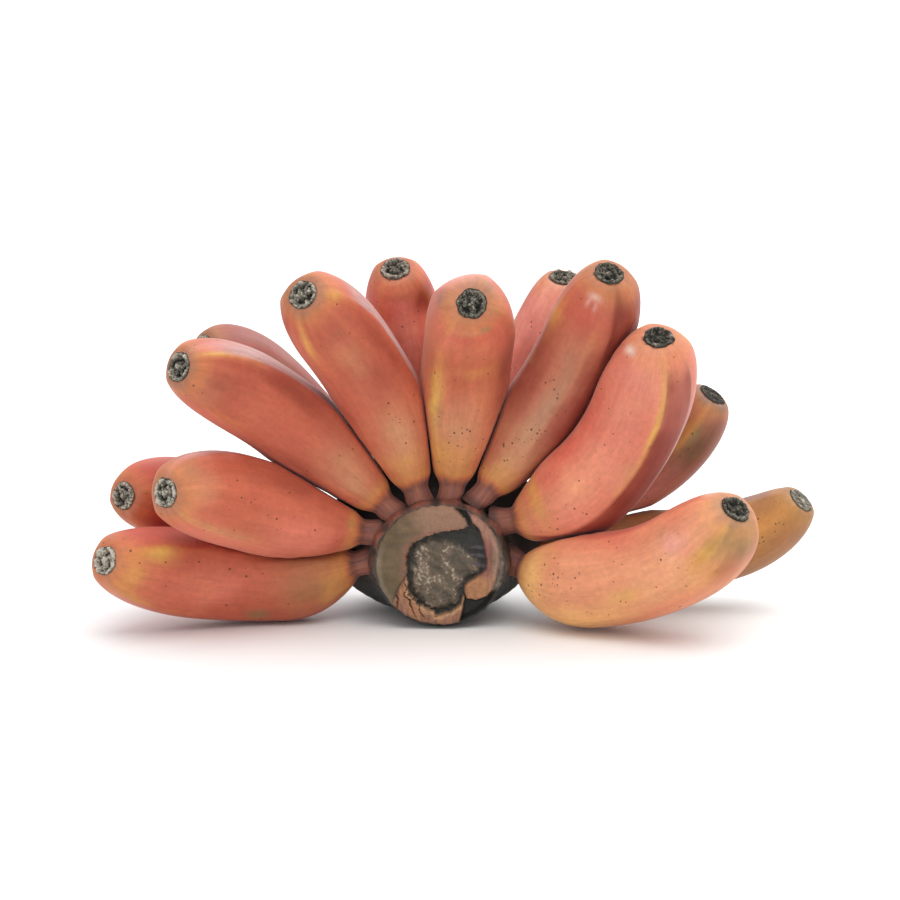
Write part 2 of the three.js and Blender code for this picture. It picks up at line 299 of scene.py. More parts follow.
        "finger_back_5", root=(28, 24, 46), aim=(6, 20), sweep=(45, 50), tip=(130.5, 20, 105.5),
        face=(58, -16), girth=21, ridges=(10, 100, 190, 273), dome=50, base=(0.46, 0.125, 0.085),
        tip_shade=0.5, ash=-0.35, worn=0.7,
        paint=[
            ((0.155, 0.066, 0.028), 1.0, 0.84, 285, 0.17, 70), (OCHRE, 0.5, 0.86, 268, 0.1, 12),
            (OLIVE, 0.8, 0.88, 283, 0.035, 8), (OLIVE, 0.7, 0.84, 258, 0.03, 6),
            (PINK, 0.4, 0.55, 300, 0.16, 30), (TAN, 0.7, 0.28, 270, 0.1, 80),
        ],
        specks=[(0.6, 0.8, 280, 0.12, 30)],
    ),
    finger(
        "finger_back_6", root=(36, 22, 34), aim=(-4, 5), sweep=(50, 55), tip=(173.5, 15, 55),
        face=(50, -21), girth=20.5, ridges=(30, 120, 211, 300), dome=55, base=(0.34, 0.15, 0.058),
        tip_shade=0.15, ash=0.5, worn=0.75,
        paint=[
            (SLATE, 0.6, 0.85, 185, 0.2, 22), (OCHRE, 0.65, 0.85, 262, 0.16, 30),
            (BROWN, 0.7, 0.75, 315, 0.25, 28), (TAN, 0.7, 0.3, 270, 0.1, 80),
        ],
        specks=[(1.0, 0.88, 255, 0.12, 40)],
    ),
]

MM = 0.001
stalk_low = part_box("stalk")[0]
stalk_reach = max(left for _, left, _, _, _ in STALK_RINGS)
ORIGIN = np.array([stalk_low.x + stalk_reach * MM, stalk_low.y - STALK_FRONT * MM, stalk_low.z])


def placed(points):
    """Points of the layout, in millimetres, moved to the row's frame in metres."""
    return np.asarray(points, float) * MM + ORIGIN


def direction(angles):
    """The unit vector with this turn from +X towards +Z and this lean towards +Y."""
    turn, lean = np.radians(angles)
    return np.array([math.cos(turn) * math.cos(lean), math.sin(lean), math.sin(turn) * math.cos(lean)])


def smooth(low, high, value):
    """Eases from 0 at low to 1 at high, which may be the smaller of the two."""
    t = np.clip((value - low) / (high - low), 0, 1)
    return t * t * (3 - 2 * t)


def fractal(points, size, octaves=3, seed=0.0):
    """Smooth noise from about -1 to 1 at each point, with features of about size in the points' own units."""
    flat = np.asarray(points, float).reshape(-1, 3) / size + (seed * 7.31, seed * 3.17, seed * 5.83)
    values = [noise.fractal(Vector(p), 1.0, 2.0, octaves) for p in flat]
    return np.array(values).reshape(np.shape(points)[:-1])


class Line:
    """A finger's centreline, measured along its length."""

    def __init__(self, spec):
        out = direction(spec["aim"])
        start = np.array(spec["root"], float) - BURIED * out
        end = np.array(spec["tip"], float)
        near = start + out * (BURIED + spec["sweep"][0])
        far = end - direction(spec["face"]) * spec["sweep"][1]
        t = np.linspace(0, 1, 801)[:, None]
        self.points = (
            (1 - t) ** 3 * start + 3 * t * (1 - t) ** 2 * near + 3 * t * t * (1 - t) * far + t**3 * end
        )
        steps = np.linalg.norm(np.diff(self.points, axis=0), axis=1)
        self.along = np.concatenate([[0], np.cumsum(steps)])
        self.length = self.along[-1]

    def at(self, u):
        return np.stack([np.interp(u * self.length, self.along, self.points[:, k]) for k in range(3)], -1)

    def tangent(self, u):
        d = self.at(np.minimum(u + 0.002, 1)) - self.at(np.maximum(u - 0.002, 0))
        return d / np.linalg.norm(d, axis=-1, keepdims=True)


def radius_at(distance, length, spec):
    """As in part.mjs: a stem that opens into the shoulder, and a dome at the tip."""
    past = np.clip((distance - BURIED - STEM_LENGTH) / spec["shoulder"], 0, 1)
    stem = STEM_RADIUS + FLARE * np.maximum(0, 1 - distance / (BURIED + STEM_LENGTH)) ** 2
    swell = stem + (spec["girth"] - stem) * (1 - (1 - past) ** 2.1) * np.minimum(1, past * 12) ** 0.3
    left = np.clip((length - distance) / spec["dome"], 0, 1)
    close = TIP_RADIUS + (spec["girth"] - TIP_RADIUS) * np.sqrt(1 - (1 - left) ** 2)
    return swell * close / spec["girth"]


def core_of(spec):
    line = Line(spec)
    u = np.linspace(0, 1, 91)
    return line.at(u), radius_at(u * line.length, line.length, spec)


def reach(points, cores):
    """How far out each point is from the nearest neighbour's centreline, where 1 is on its skin."""
    best = np.full(len(points), 9.0)
    for centres, radii in cores:
        gap = np.linalg.norm(points[:, None] - centres[None], axis=2) / radii[None]
        best = np.minimum(best, gap.min(1))
    return best


def pressed(centres, spokes, cores):
    """Shortens each spoke to where the finger meets a neighbour that it presses on."""
    share = np.ones(len(centres))
    tight = np.nonzero(reach(centres + spokes, cores) <= 1 + PRESS_GAP)[0]
    low, high = np.zeros(len(tight)), np.ones(len(tight))
    for _ in range(11):
        middle = (low + high) / 2
        free = middle + PRESS_GAP < reach(centres[tight] + spokes[tight] * middle[:, None], cores)
        low, high = np.where(free, middle, low), np.where(free, high, middle)
    share[tight] = low
    return share


def section(turn, ridges, flatness):
    """How far out the skin of a finger of radius 1 is at each turn: flat sides between rounded ridges."""
    side = 0
    shifts = (-3, -1.5, 0, 1.5, 3)
    for shift in shifts:
        past = (np.degrees(turn)[..., None] + shift - np.array(ridges)) % 360
        before = np.radians(past.min(-1))
        after = np.radians(360 - past.max(-1))
        side = side + np.cos((before + after) / 2) / np.cos((before - after) / 2) / len(shifts)
    return 1 + RIDGE_HEIGHT - flatness * (1 - side)


def flat_sides(u):
    return FLATNESS * smooth(0.1, 0.6, u) * (1 - 0.6 * smooth(0.975, 1, u))


# --------------------------------------------------------------------------------------------------
# Meshes


def build(name, rings, colour, values, shares):
    """A closed skin over rings of points, with a bake map, colours and other values at its points.

    shares is how far along the bake map each ring lies, from 0 to 1.
    """
    count, sides = rings.shape[:2]
    caps = rings[[0, -1]].mean(1)
    verts = placed(np.concatenate([rings.reshape(-1, 3), caps]))
    i, j = np.meshgrid(np.arange(count - 1), np.arange(sides), indexing="ij")
    k = (j + 1) % sides
    quads = np.stack([i * sides + j, i * sides + k, (i + 1) * sides + k, (i + 1) * sides + j], -1)
    quads = quads.reshape(-1, 4)
    left, right = shares[i], shares[i + 1]
    low, high = j / sides, (j + 1) / sides
    quad_map = np.stack([left, low, left, high, right, high, right, low], -1).reshape(-1, 2)
    j, k = j[0], k[0]
    low, high = low[0], high[0]
    zero, one = np.zeros(sides), np.ones(sides)
    last = (count - 1) * sides
    start = np.stack([k, j, np.full(sides, count * sides)], -1)
    end = np.stack([last + j, last + k, np.full(sides, count * sides + 1)], -1)
    start_map = np.stack([zero, high, zero, low, zero, (low + high) / 2], -1).reshape(-1, 2)
    end_map = np.stack([one, low, one, high, one, (low + high) / 2], -1).reshape(-1, 2)

    mesh = bpy.data.meshes.new(name)
    corners = np.concatenate([quads.ravel(), start.ravel(), end.ravel()]).astype(np.int32)
    sizes = np.concatenate([np.full(len(quads), 4), np.full(2 * sides, 3)])
    mesh.vertices.add(len(verts))
    mesh.vertices.foreach_set("co", verts.astype(np.float32).ravel())
    mesh.loops.add(len(corners))
    mesh.loops.foreach_set("vertex_index", corners)
    mesh.polygons.add(len(sizes))
    mesh.polygons.foreach_set("loop_start", np.concatenate([[0], np.cumsum(sizes)[:-1]]).astype(np.int32))
    mesh.polygons.foreach_set("use_smooth", np.ones(len(sizes), bool))
    mesh.update(calc_edges=True)
    layer = mesh.uv_layers.new(name="OFBake")
    bake_map = np.concatenate([quad_map, start_map, end_map])
    layer.uv.foreach_set("vector", bake_map.astype(np.float32).ravel())

    def spread(array):
        array = np.asarray(array, float)
        flat = np.concatenate([array.reshape(count * sides, -1), array[[0, -1]].mean(1).reshape(2, -1)])
        return flat.astype(np.float32)

    rgba = np.concatenate([spread(colour), np.ones((len(verts), 1), np.float32)], 1)
    mesh.color_attributes.new("tint", "FLOAT_COLOR", "POINT").data.foreach_set("color", rgba.ravel())
    for key, array in values.items():
        flat = spread(array)
        kind, field = ("FLOAT_VECTOR", "vector") if flat.shape[1] == 3 else ("FLOAT", "value")
        mesh.attributes.new(key, kind, "POINT").data.foreach_set(field, flat.ravel())
    mesh.validate()
    piece = bpy.data.objects.new(name, mesh)
    bpy.context.scene.collection.objects.link(piece)
    return piece


def mix(a, b, share):
    share = np.clip(np.asarray(share, float), 0, 1)[..., None]
    return np.asarray(a) * (1 - share) + np.asarray(b) * share


# Sides of a finger's mesh, and its rings as shares of its length, on a fine grid and on a coarse one.
SIDES, COARSE = 120, 40
SKIN_START, SHOULDER_END, DOME_START = 0.045, 0.2, 0.84
BODY = np.concatenate([
    np.linspace(SKIN_START, SHOULDER_END, 24),
    np.linspace(SHOULDER_END, DOME_START, 84)[1:],
    1 - (1 - DOME_START) * np.linspace(1, 0, 36)[1:] ** 1.4,
])
BODY_COARSE = np.concatenate([
    np.linspace(SKIN_START, SHOULDER_END, 12),
    np.linspace(SHOULDER_END, DOME_START, 30)[1:],
    np.linspace(DOME_START, 1, 14)[1:],
])
TURN = np.arange(SIDES) * 2 * math.pi / SIDES


def refine(field, rows, fine_rows):
    """A field known on a coarse grid of a finger's skin, brought to the fine one."""
    columns = np.arange(COARSE + 1) * 2 * math.pi / COARSE
    wide = np.stack([np.interp(TURN, columns, np.append(row, row[0])) for row in field])
    return np.stack([np.interp(fine_rows, rows, wide[:, j]) for j in range(SIDES)], -1)


def axes_along(line, places, aim):
    """Centres, directions and the two cross axes, carried along without twist."""
    centres, tangents = line.at(places), line.tangent(places)
    side = np.cross((0, 1, 0), direction(aim))
    sides = []
    for t in tangents:
        side = side - t * side.dot(t)
        side = side / np.linalg.norm(side)
        sides.append(side)
    sides = np.array(sides)
    return centres, tangents, sides, np.cross(tangents, sides)


def dried_end(index, end, facing, spokes, radius, ash, worn):
    """Rings of the dried blossom end, inwards: a broken collar, then crumbling remains with holes in them."""
    shares = np.concatenate([[1.0, 1.03, 1.0], np.linspace(0.97, 0.04, 33)])[:, None] * np.ones(SIDES)
    flat = shares[..., None] * radius * np.stack([np.cos(TURN), np.sin(TURN), 0 * TURN], -1)
    grit = flat + index * 60.0
    wobble, rough, fine = fractal(grit, 4.5, 2, 1), fractal(grit, 2.3, 3, 2), fractal(grit, 0.9, 3, 3)
    holes = fractal(grit, 2.6, 2, 5)
    rim = smooth(1.0, 0.94, shares)
    out = shares * (1 + (0.10 * wobble + 0.04 * rough) * smooth(0.2, 0.7, shares))
    collar = (0.75 + 0.8 * wobble) * np.exp(-(((out - 0.84 - 0.05 * rough) / 0.12) ** 2))
    pit = -1.7 * np.exp(-(((out - 0.50) / 0.22) ** 2)) * smooth(-0.30, 0.55, holes)
    from_stub = np.hypot(flat[..., 0] - 0.9 * math.cos(index), flat[..., 1] - 0.9 * math.sin(index))
    stub = 0.9 * np.exp(-((from_stub / (1.5 + 0.5 * wobble)) ** 2))
    fresh = 1 - worn
    grains = (0.75 * rough + 0.55 * fine) * (1 - 0.7 * worn)
    up = 0.45 + (collar + pit) * fresh + stub * (1 - 0.5 * worn) + grains
    up = up * rim + (0.25 + 0.3 * rough) * (1 - rim)
    up[0] = 0
    # The tone follows the relief, paler on the collar and the stub and darker in the pits and at the rim:
    # painted light and shade on top of the grains' own pale and dark fibre.
    tone = 0.15 + (0.45 * collar + 0.7 * pit) * fresh + 0.5 * stub
    tone = tone + (0.7 * rough + 0.9 * fine) * (1 - 0.4 * worn) + ash
    return end + spokes * (radius * out)[..., None] + facing * up[..., None], tone - 0.7 * (1 - rim)


def unrolled(ring, u, spec, line, index):
    """Where noise is read for each point of a finger's skin, so that every finger has its own."""
    girth = spec["girth"]
    return np.stack([np.cos(ring) * girth, np.sin(ring) * girth, u * line.length + index * 400], -1)


def off_turn(degrees, turn_at):
    """How far each turn is past turn_at, from -180 to 180 degrees."""
    return (degrees - turn_at + 180) % 360 - 180


def painted(spec, u, degrees, distance, noises):
    """The skin's colour, how much painted sheen lies on it, and where it is stem."""
    broad, patch, blotch, streak = noises
    base = np.array(spec["base"])
    colour = mix(base, base * (1.10, 1.30, 1.30), 0.2 + 0.7 * patch)
    colour = mix(colour, base * (0.78, 0.60, 0.58), 0.14 + 0.24 * streak - 0.5 * broad)
    for tone, strength, place, turn_at, long, wide in spec["paint"]:
        along = (u - place + 0.10 * min(long, 0.2) * (blotch + 2 * patch)) / long
        across = (off_turn(degrees, turn_at) + min(wide, 40) * 0.35 * (blotch + broad)) / wide
        cover = strength * np.exp(-(along**2) - across**2) * (1 + 0.2 * streak + 0.25 * blotch)
        colour = mix(colour, tone, cover)
    painted_sheen = 0 * u
    for tone, strength, first, last, low, high in spec["facets"]:
        turned = (degrees - first + 60 + 1.5 * streak) % 360 - 60
        within = smooth(-2, 2, turned) * smooth(last - first + 3, last - first - 3, turned)
        within = within * smooth(low - 0.08, low + 0.05, u + 0.03 * blotch)
        within = within * smooth(high + 0.03, high - 0.05, u)
        # Painted sheen fades out where the skin turns to face the viewer, so it lies near the outlines like a
        # grazing reflection.
        if tone == SHEEN_PAINT:
            within = within * smooth(140, 88, np.abs(off_turn(degrees, FACING_TURN)) + 8 * blotch)
            within = within * smooth(low - 0.1, low + 0.15, u + 0.1 * patch)
            within = within * smooth(high + 0.04, high - 0.15, u + 0.1 * patch)
        within = within * np.clip(strength * (0.9 + 0.35 * streak + 0.25 * blotch), 0, 1)
        colour = mix(colour, tone, within)
        painted_sheen = np.maximum(painted_sheen, within * (tone == SHEEN_PAINT))

    # What ripens first is yellower: the ridges, and the tip before its dark end.
    edge = sum(np.exp(-((off_turn(degrees, ridge) / 6) ** 2)) for ridge in spec["ridges"])
    colour = mix(colour, OCHRE, edge * smooth(0.55, 0.85, u) * smooth(-0.3, 0.7, patch + streak) * 0.25)
    shade = spec["tip_shade"]
    colour = mix(colour, OCHRE, smooth(0.92, 0.99, u + 0.03 * patch) * 0.22)
    colour = mix(colour, OLIVE, smooth(0.965, 1.0, u + 0.014 * blotch) * shade)
    colour = mix(colour, SLATE, smooth(0.985, 1.0, u + 0.008 * blotch) * shade)
    colour = mix(colour, BROWN, smooth(0.55, 1.1, blotch + 0.4 * streak) * 0.5)

    # The stem, with an ochre neck and a thin red line where the fruit begins.
    bark = mix(STEM, np.array(STEM) * (0.62, 0.72, 0.95), 0.4 + 0.9 * streak)
    bark = mix(bark, STEM_DARK, smooth(13, 8, distance))
    neck = BURIED + STEM_LENGTH + 3.5 + 1.6 * blotch + 0.8 * streak
    colour = mix(colour, OCHRE, smooth(neck + 10, neck + 1, distance) * 0.6)
    colour = mix(colour, RED, np.exp(-(((distance - neck - 0.5) / 1.6) ** 2)) * 0.5)
    stem = smooth(neck + 1.5, neck - 2, distance)
    colour = mix(colour, bark, stem)
    return colour, painted_sheen, stem


def finger_piece(index, spec, cores):
    """One finger with its stem and its dried end. cores are the other fingers' centrelines and radii."""
    line = Line(spec)
    ridges = spec["ridges"]

    # Slowly varying things are worked out on a coarse grid of the skin.
    centres, _, sides, backs = axes_along(line, BODY_COARSE, spec["aim"])
    turn = np.arange(COARSE) * 2 * math.pi / COARSE
    u = np.broadcast_to(BODY_COARSE[:, None], (len(BODY_COARSE), COARSE))
    around = sides[:, None] * np.cos(turn)[None, :, None] + backs[:, None] * np.sin(turn)[None, :, None]
    ring = np.broadcast_to(turn, u.shape)
    skin = unrolled(ring, u, spec, line, index)
    broad, patch, blotch = fractal(skin, 34, 2, 1), fractal(skin, 26, 3, 4), fractal(skin, 11, 3, 7)
    streak = fractal(skin * (1, 1, 0.14), 5, 3, 9)
    radii = radius_at(u * line.length, line.length, spec)
    shape = section(ring, ridges, flat_sides(u)) * (1 + 0.008 * broad)
    arms = around * (radii * shape)[..., None]
    share = pressed(np.repeat(centres, COARSE, axis=0), arms.reshape(-1, 3), cores).reshape(u.shape)
    share = refine(share, BODY_COARSE, BODY)
    broad, patch = refine(broad, BODY_COARSE, BODY), refine(patch, BODY_COARSE, BODY)
    blotch, streak = refine(blotch, BODY_COARSE, BODY), refine(streak, BODY_COARSE, BODY)

    centres, tangents, sides, backs = axes_along(line, BODY, spec["aim"])
    u = np.broadcast_to(BODY[:, None], (len(BODY), SIDES))
    ring = np.broadcast_to(TURN, u.shape)
    spokes = sides[:, None] * np.cos(TURN)[None, :, None] + backs[:, None] * np.sin(TURN)[None, :, None]
    radii = radius_at(u * line.length, line.length, spec)
    shape = section(ring, ridges, flat_sides(u)) * (1 + 0.008 * broad)
    degrees = np.degrees(ring)

    if spec["crease"]:
        crease_turn, crease_depth = spec["crease"]
        groove = np.exp(-((off_turn(degrees, crease_turn) / 6.5) ** 2))
        groove = groove * smooth(0.70, 0.82, u) * smooth(1.0, 0.96, u)
        shape = shape - groove * crease_depth / np.maximum(radii, 1)
    points = centres[:, None] + spokes * (radii * shape * share)[..., None]

    distance = u * line.length
    colour, painted_sheen, stem = painted(spec, u, degrees, distance, (broad, patch, blotch, streak))
    specks = 0.05 + 0 * u
    for density, place, turn_at, long, wide in spec["specks"]:
        across = off_turn(degrees, turn_at) / wide
        specks = specks + density * np.exp(-(((u - place) / long) ** 2) - across**2)

    petals, crest = dried_end(
        index, centres[-1], tangents[-1], spokes[-1], radii[-1, 0], spec["ash"], spec["worn"]
    )
    extra = len(petals)

    def on(field, beyond=None):
        return np.concatenate([field, np.repeat(field[-1:], extra, axis=0) if beyond is None else beyond])

    skin = unrolled(ring, u, spec, line, index)
    dry = np.ones((extra, SIDES))
    dry[0] = 0.5
    values = {
        "grain": on(skin) * MM, "dry": on(0 * u, dry), "crest": on(0 * u, crest), "stem": on(stem),
        "specks": on(specks, 0 * crest), "painted_sheen": on(painted_sheen, 0 * crest),
    }
    shares = np.concatenate([0.88 * (BODY - BODY[0]) / (1 - BODY[0]), np.linspace(0.88, 1, extra + 1)[1:]])
    return build(f"{spec['name']}_skin", on(points, petals), on(colour), values, shares)


# Outlines on the cut face of the stalk, in millimetres rightwards and upwards from its middle.
CORE_HOLE = [
    (-15.7, 4.2), (-15.2, 7.5), (-13, 10.8), (-8.2, 13), (-6.6, 14.6), (2, 16.5), (11.1, 17.9),
    (13.3, 19.2), (11.7, 21.7), (9.5, 24.4), (6.8, 27.5), (11.7, 28), (14.4, 23.3), (15.4, 20.6),
    (17.6, 19), (19.2, 16.8), (21.1, 9.7), (22.4, 3.2), (22.2, -1.8), (19.2, -5), (13.8, -8.3),
    (12.2, -9.9), (11.7, -13.8), (10.1, -19.2), (5.2, -22.7), (-1.2, -24.4), (-4.4, -22.5), (-9.3, -19.7),
    (-13, -16.5), (-15.5, -12.1), (-16, -2.3),
]
RIGHT_STRIP = [
    (14.4, 25), (17.8, 25), (21.9, 21.1), (25.7, 15.1), (28, 8.6), (28.2, 2.1), (27, -5), (25.1, -11),
    (22.4, -14.8), (17.6, -16.8), (12.6, -16), (11, -10), (17, -2), (18, 8), (16, 17), (14, 21.6),
]
TORN_FLAPS = [
    (-16.5, -5.5), (-18.5, -9), (-22.3, -18), (-20, -26), (-14, -31), (0, -33), (9, -30), (11.8, -15),
    (6, -12), (-8, -6),
]


def inside(outline, x, z):
    """Distance in from the edge of an outline, negative outside it."""
    a = np.array(outline, float)
    b = np.roll(a, -1, axis=0)
    p = np.stack([x, z], -1)[..., None, :]
    along = b - a
    t = np.clip(((p - a) * along).sum(-1) / (along**2).sum(-1), 0, 1)
    gap = np.linalg.norm(p - a - t[..., None] * along, axis=-1).min(-1)
    crosses = (a[:, 1] > p[..., 1]) != (b[:, 1] > p[..., 1])
    rise = np.where(along[:, 1] == 0, 1e-9, along[:, 1])
    crosses &= p[..., 0] < along[:, 0] * (p[..., 1] - a[:, 1]) / rise + a[:, 0]
    return np.where(crosses.sum(-1) % 2 == 1, gap, -gap)


def cut_face(x, z):
    """Height towards the front and colour over the cut end of the stalk."""
    place = np.stack([x, z, 0 * x], -1)
    slow, rough, fine = fractal(place, 7, 2, 1), fractal(place, 2.2, 3, 2), fractal(place, 0.8, 2, 3)
    torn = smooth(2, -10, z) * smooth(10, -6, x)
    hole = inside(CORE_HOLE, x + 0.5 * rough, z + 0.35 * fine) + (0.35 + 0.8 * torn) * rough
    strip = inside(RIGHT_STRIP, x + 0.3 * slow, z + 0.3 * rough)
    flaps = inside(TORN_FLAPS, x + 0.6 * slow, z + 0.4 * rough)
    radius = np.hypot(x / 30, z / 29)

    # The rind, thick and tan at the left and top, and thin grey bark at the right.
    colour = mix((0.185, 0.110, 0.062), (0.125, 0.085, 0.042), smooth(4, -16, x + 0.5 * z + 5 * slow))
    colour = colour * (1 + 0.30 * slow + 0.22 * fractal(place * (0.4, 1, 1), 3, 2, 9))[..., None]
    pale_edge = smooth(0.88, 0.97, radius) * smooth(-8, -18, x) * smooth(12, 2, z)
    colour = mix(colour, (0.27, 0.215, 0.15), pale_edge * 0.6)
    colour = mix(colour, (0.235, 0.115, 0.075), smooth(4.5, 0.5, -hole + 2 * slow) * 0.6)
    colour = mix(colour, (0.35, 0.10, 0.07), smooth(2.2, 0.2, -hole) * smooth(0.0, 0.6, slow + rough) * 0.8)
    colour = mix(colour, (0.30, 0.24, 0.05), smooth(0.35, 0.8, slow) * smooth(-5, -14, z) * 0.6)
    colour = mix(colour, (0.30, 0.165, 0.105), smooth(13, 21, z + 2 * slow) * smooth(-17, -6, x) * 0.8)
    bark = smooth(9, 15, x) * smooth(0.3, -0.3, strip)
    colour = mix(colour, mix((0.185, 0.145, 0.115), (0.085, 0.068, 0.055), 0.45 + rough), bark)
    colour = mix(colour, (0.035, 0.028, 0.022), smooth(0.985, 1.01, radius + 0.015 * rough) * 0.8)
    height = 0.25 * slow + 0.12 * fine - 1.3 * smooth(0.86, 1.02, radius) ** 2 - 0.5 * smooth(1.5, 0, -hole)

    # The strip of inner rind at the right, pink above and orange below.
    inner = smooth(-0.2, 0.5, strip)
    flesh = mix((0.33, 0.165, 0.115), (0.23, 0.085, 0.068), smooth(16, 8, z + slow))
    stain = np.exp(-(((x - 25.5) / 1.6) ** 2)) * smooth(-6, 0, z) * smooth(12, 4, z)
    flesh = mix(flesh, (0.15, 0.10, 0.05), stain * 0.8)
    flesh = mix(flesh, (0.36, 0.165, 0.075), smooth(-1, -8, z + 2 * slow))
    flesh = mix(flesh, (0.34, 0.21, 0.15), smooth(4, 1.5, strip) * smooth(22, 27, x + slow) * 0.8)
    colour = mix(colour, flesh * (1 + 0.25 * fractal(place * (1, 0.25, 1), 1.4, 3, 5))[..., None], inner)
    height = height - 0.6 * inner - 1.3 * np.exp(-((strip / 0.55) ** 2)) * smooth(8, 14, x)

    # Nothing is left between the end of that strip and the flaps: the rind has broken away, and the hollow is
    # painted near black as shade.
    gone = smooth(0.3, -0.5, strip) * smooth(0.4, -0.4, flaps)
    gone = gone * smooth(3, 8, x + rough) * smooth(-10, -15, z + rough)
    colour = mix(colour, (0.018, 0.018, 0.016), gone)
    height = height - 4.5 * gone

    # Torn flaps at the bottom, split along the grain, with painted shade darkening the splits.
    flap = smooth(-0.3, 0.4, flaps)
    splits = np.abs(np.sin(math.pi * (0.21 * x + 0.05 * z + 0.6 * slow + 0.10 * rough)))
    split = smooth(0.20, 0.05, splits) * smooth(-0.5, 0.1, fractal(place, 5, 2, 8)) * smooth(1, -8, x)
    bands = fractal(place * (1, 0.2, 1), 1.6, 3, 6)
    wood = mix((0.37, 0.165, 0.080), (0.17, 0.085, 0.062), 0.4 + 1.5 * bands)
    wood = mix(wood, (0.34, 0.17, 0.13), smooth(-0.1, 0.6, fractal(place * (1, 0.12, 1), 2.6, 2, 16)) * 0.7)
    wood = mix(wood, (0.50, 0.29, 0.15), smooth(1.4, 0.3, -hole) * 0.7)
    colour = mix(colour, mix(wood, (0.04, 0.025, 0.02), split), flap)
    height = height + flap * (0.9 + 0.5 * bands - 1.5 * split)
    height = height - np.exp(-((flaps / 0.5) ** 2)) * (radius < 0.97)

    # The core, sunk into the face: nearly black painted shade at its edge and upper right, pale broken fibre
    # over its middle.
    sunk = smooth(-0.15, 0.9, hole)
    crumbs = fractal(place, 1.5, 4, 11) + 0.5 * fine
    middle_share = smooth(1.2, 5.5, hole + 1.8 * slow) * smooth(14, 8, 0.55 * x + 0.83 * z + 2 * slow)
    clumps = fractal(place @ np.array([[0.8, -0.6, 0], [0.6, 0.8, 0], [0, 0, 1]]) * (1, 0.5, 1), 4.5, 3, 13)
    pith = mix((0.030, 0.029, 0.024), (0.145, 0.108, 0.072), middle_share * (0.85 + 0.7 * clumps))
    pith = mix(pith, (0.22, 0.160, 0.115), smooth(0.0, 0.7, clumps) * middle_share * 0.8)
    pith = mix(pith, (0.44, 0.36, 0.27), smooth(0.35, 1.10, crumbs + 0.9 * clumps) * middle_share)
    ribs = smooth(13, 16, x) * smooth(11, 8, z) * smooth(-5, -2, z)
    ribs = ribs * np.cos(z * 1.5 + 2.5 * slow + 0.8 * rough)
    pith = mix(pith, (0.085, 0.072, 0.080), smooth(0.1, 0.8, ribs) * 0.8)
    colour = mix(colour, pith, sunk)
    deep = 4.8 - 1.3 * middle_share
    height = height * (1 - sunk) - sunk * (deep - 0.40 * crumbs - 0.5 * clumps - 0.4 * ribs)
    return height, colour


